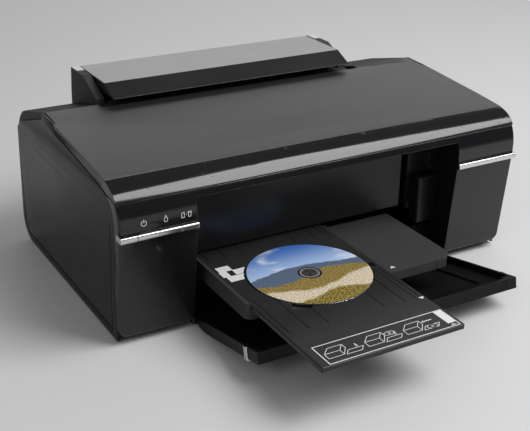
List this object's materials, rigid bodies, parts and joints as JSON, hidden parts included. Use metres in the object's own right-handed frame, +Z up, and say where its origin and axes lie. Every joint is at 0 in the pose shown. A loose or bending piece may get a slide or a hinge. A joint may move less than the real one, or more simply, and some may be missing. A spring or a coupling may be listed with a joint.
{
  "type": "disc label printer",
  "caption": "Desktop ink-jet printer with a slide-out disc guide and disc tray, folding paper support, hinged cover, output tray with extension and a working carriage.",
  "frame": {"origin": "on the table, midway between the side panels and midway between the disc tray's front edge and the rear wall", "axes": "+Z up, -Y towards the user, +X to the user's right when facing the front"},
  "size_m": [0.45, 0.466, 0.1876],
  "materials": {
    "gloss_black": "high gloss",
    "satin_black": "satin, fine grain",
    "dotted_black": "satin with a fine dot print",
    "silver_paint": "satin silver paint on plastic",
    "chrome_trim": "bright",
    "steel": "zinc plated",
    "rubber": "matt",
    "nylon": "natural nylon",
    "disc_print": "printed face",
    "circuit": "solder mask",
    "foam": "felt",
    "ink_case": "satin"
  },
  "bodies": {
    "printer": {"lower_housing": "satin_black", "feet": "rubber", "front_housing": "gloss_black", "left_side_panel": "satin_black", "right_side_panel": "satin_black", "rear_housing": "satin_black", "fascia": "satin_black", "recess_end_panel": "satin_black", "recess_end_block": "satin_black", "button_carrier": "nylon", "pod_trims": "chrome_trim", "tray_hinge_pins": "steel", "guide_rails": "satin_black", "main_frame": "steel", "carriage_shaft": "steel", "timing_belt": "rubber", "carriage_motor": "steel", "encoder_strip": "nylon", "platen": "satin_black", "pinch_holder": "satin_black", "star_wheel_bar": "satin_black", "feed_motor": "steel", "capping_station": "satin_black", "waste_pad": "foam", "power_supply": "satin_black", "circuit_boards": "circuit", "usb_socket": "steel", "mains_inlet": "satin_black", "sheet_feeder": "satin_black", "support_hinge_caps": "silver_paint"},
    "cover": {"printer_cover": "dotted_black"},
    "support": {"paper_support": "silver_paint"},
    "support_slider": {"support_extension": "satin_black"},
    "hopper": {"hopper_plate": "satin_black"},
    "side_stop": {"edge_guide": "satin_black"},
    "tray": {"output_tray": "satin_black", "tray_trim": "chrome_trim"},
    "tray_slider": {"tray_extension": "satin_black"},
    "guide": {"disc_guide": "satin_black"},
    "disc_carrier": {"disc_tray": "satin_black", "disc_hub": "satin_black"},
    "loose_disc": {"disc": "disc_print"},
    "power_key": {"power_button": "chrome_trim"},
    "ink_key": {"ink_button": "chrome_trim"},
    "paper_key": {"paper_button": "chrome_trim"},
    "head_carriage": {"carriage": "satin_black", "print_head": "steel", "ink_cartridges": "ink_case"},
    "hatch": {"cartridge_hatch": "satin_black"},
    "drive_wheel": {"drive_pulley": "nylon"},
    "idler_wheel": {"idler_pulley": "nylon"},
    "feed_shaft": {"feed_roller": "steel", "feed_gear": "nylon"},
    "exit_shaft": {"exit_roller": "rubber", "exit_gear": "nylon"},
    "idler": {"idler_gear": "nylon"},
    "pinion": {"motor_pinion": "nylon"},
    "pinch_set": {"pinch_rollers": "rubber"},
    "star_set": {"star_wheels": "steel"},
    "pickup": {"pickup_roller": "rubber"}
  },
  "joints": [
    {"name": "cover_hinge", "type": "hinge", "parent": "printer", "child": "cover", "pos_m": [0, 0.117, 0.158], "axis": [-1, 0, 0], "range_deg": [0, 60]},
    {"name": "support_hinge", "type": "hinge", "parent": "printer", "child": "support", "pos_m": [0, 0.214, 0.182], "axis": [-1, 0, 0], "range_deg": [0, 110]},
    {"name": "support_extension_slide", "type": "slide", "parent": "support", "child": "support_slider", "axis": [0, -1, 0], "range_m": [0, 0.06]},
    {"name": "hopper_pivot", "type": "hinge", "parent": "printer", "child": "hopper", "pos_m": [0, 0.2135, 0.16], "axis": [-1, 0, 0], "range_deg": [0, 3]},
    {"name": "edge_guide_slide", "type": "slide", "parent": "hopper", "child": "side_stop", "axis": [1, 0, 0], "range_m": [0, 0.09]},
    {"name": "output_tray_hinge", "type": "hinge", "parent": "printer", "child": "tray", "pos_m": [0, -0.038, 0.005], "axis": [1, 0, 0], "range_deg": [-8, 0]},
    {"name": "tray_extension_slide", "type": "slide", "parent": "tray", "child": "tray_slider", "axis": [0, -0.9778, 0.2096], "range_m": [0, 0.075]},
    {"name": "disc_guide_slide", "type": "slide", "parent": "printer", "child": "guide", "axis": [0, -1, 0], "range_m": [-0.071, 0]},
    {"name": "disc_tray_slide", "type": "slide", "parent": "guide", "child": "disc_carrier", "axis": [0, -1, 0], "range_m": [-0.2, 0]},
    {"name": "disc_lift", "type": "slide", "parent": "disc_carrier", "child": "loose_disc", "axis": [0, 0, 1], "range_m": [0, 0.03]},
    {"name": "power_button_press", "type": "slide", "parent": "printer", "child": "power_key", "axis": [0, 1, 0], "range_m": [0, 0.0008], "stiffness_N_per_m": 400, "springref_m": -0.001},
    {"name": "ink_button_press", "type": "slide", "parent": "printer", "child": "ink_key", "axis": [0, 1, 0], "range_m": [0, 0.0008], "stiffness_N_per_m": 400, "springref_m": -0.001},
    {"name": "paper_button_press", "type": "slide", "parent": "printer", "child": "paper_key", "axis": [0, 1, 0], "range_m": [0, 0.0008], "stiffness_N_per_m": 400, "springref_m": -0.001},
    {"name": "carriage_slide", "type": "slide", "parent": "printer", "child": "head_carriage", "axis": [1, 0, 0], "range_m": [-0.29, 0]},
    {"name": "cartridge_hatch_hinge", "type": "hinge", "parent": "head_carriage", "child": "hatch", "pos_m": [0.15, 0.138, 0.104], "axis": [-1, 0, 0], "range_deg": [0, 40]},
    {"name": "drive_pulley_spin", "type": "hinge", "parent": "printer", "child": "drive_wheel", "pos_m": [0.188, 0.161, 0.11], "axis": [0, 1, 0], "continuous": true},
    {"name": "idler_pulley_spin", "type": "hinge", "parent": "printer", "child": "idler_wheel", "pos_m": [-0.188, 0.161, 0.11], "axis": [0, 1, 0], "continuous": true},
    {"name": "feed_roller_spin", "type": "hinge", "parent": "printer", "child": "feed_shaft", "pos_m": [0, 0.15, 0.0444], "axis": [1, 0, 0], "continuous": true},
    {"name": "exit_roller_spin", "type": "hinge", "parent": "printer", "child": "exit_shaft", "pos_m": [0, 0.072, 0.0462], "axis": [1, 0, 0], "continuous": true},
    {"name": "idler_gear_spin", "type": "hinge", "parent": "printer", "child": "idler", "pos_m": [-0.21, 0.10465, 0.03671], "axis": [1, 0, 0], "continuous": true},
    {"name": "motor_pinion_spin", "type": "hinge", "parent": "printer", "child": "pinion", "pos_m": [-0.21, 0.17913, 0.0338], "axis": [1, 0, 0], "continuous": true},
    {"name": "pinch_roller_spin", "type": "hinge", "parent": "printer", "child": "pinch_set", "pos_m": [0, 0.15, 0.0657], "axis": [1, 0, 0], "continuous": true},
    {"name": "star_wheel_spin", "type": "hinge", "parent": "printer", "child": "star_set", "pos_m": [0, 0.072, 0.067], "axis": [1, 0, 0], "continuous": true},
    {"name": "pickup_roller_spin", "type": "hinge", "parent": "printer", "child": "pickup", "pos_m": [0, 0.184, 0.11], "axis": [1, 0, 0], "continuous": true}
  ],
  "couplings": [
    {"joint": "drive_pulley_spin", "follows": "carriage_slide", "rad_per_m": -142.86},
    {"joint": "idler_pulley_spin", "follows": "carriage_slide", "rad_per_m": -142.86},
    {"joint": "exit_roller_spin", "follows": "feed_roller_spin", "ratio": 2},
    {"joint": "idler_gear_spin", "follows": "feed_roller_spin", "ratio": -1.0909},
    {"joint": "motor_pinion_spin", "follows": "feed_roller_spin", "ratio": -3.4286}
  ]
}
